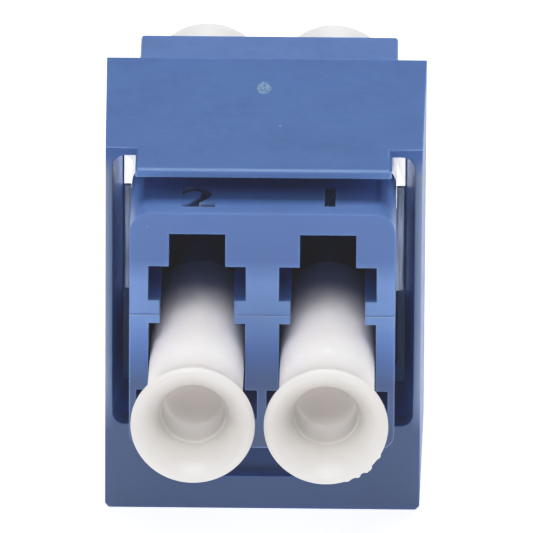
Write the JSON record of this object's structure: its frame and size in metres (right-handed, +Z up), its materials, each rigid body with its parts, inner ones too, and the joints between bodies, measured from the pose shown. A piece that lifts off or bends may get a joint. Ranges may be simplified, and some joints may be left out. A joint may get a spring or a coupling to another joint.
{
  "type": "duplex lc fibre adapter",
  "caption": "Duplex fibre adapter in a blue snap-in sleeve, key-up to key-down, with a spring clip and a white dust cap in every port.",
  "frame": {"origin": "on the surface it stands on, below the plane where the fibres meet, midway between the ports", "axes": "+X right and +Z up when looking into the front ports, which face -Y; the ports run along Y"},
  "size_m": [0.0156, 0.0438, 0.0188],
  "materials": {
    "sleeve_blue": "satin moulded",
    "body_blue": "satin moulded",
    "cap_white": "soft satin polyethylene",
    "clip_steel": "bright rolled stainless",
    "zirconia": "polished ceramic"
  },
  "bodies": {
    "adapter": {"outer_shell": "sleeve_blue", "front_housing": "body_blue", "rear_housing": "body_blue", "spring_clip": "clip_steel", "split_sleeve_left": "zirconia", "split_sleeve_right": "zirconia"},
    "front_cap_left": {"front_cap_left": "cap_white"},
    "front_cap_right": {"front_cap_right": "cap_white"},
    "rear_cap_left": {"rear_cap_left": "cap_white"},
    "rear_cap_right": {"rear_cap_right": "cap_white"}
  },
  "joints": [
    {"name": "front_cap_left_pull", "type": "slide", "parent": "adapter", "child": "front_cap_left", "axis": [0, -1, 0], "range_m": [0, 0.012]},
    {"name": "front_cap_right_pull", "type": "slide", "parent": "adapter", "child": "front_cap_right", "axis": [0, -1, 0], "range_m": [0, 0.012]},
    {"name": "rear_cap_left_pull", "type": "slide", "parent": "adapter", "child": "rear_cap_left", "axis": [0, 1, 0], "range_m": [0, 0.012]},
    {"name": "rear_cap_right_pull", "type": "slide", "parent": "adapter", "child": "rear_cap_right", "axis": [0, 1, 0], "range_m": [0, 0.012]}
  ]
}
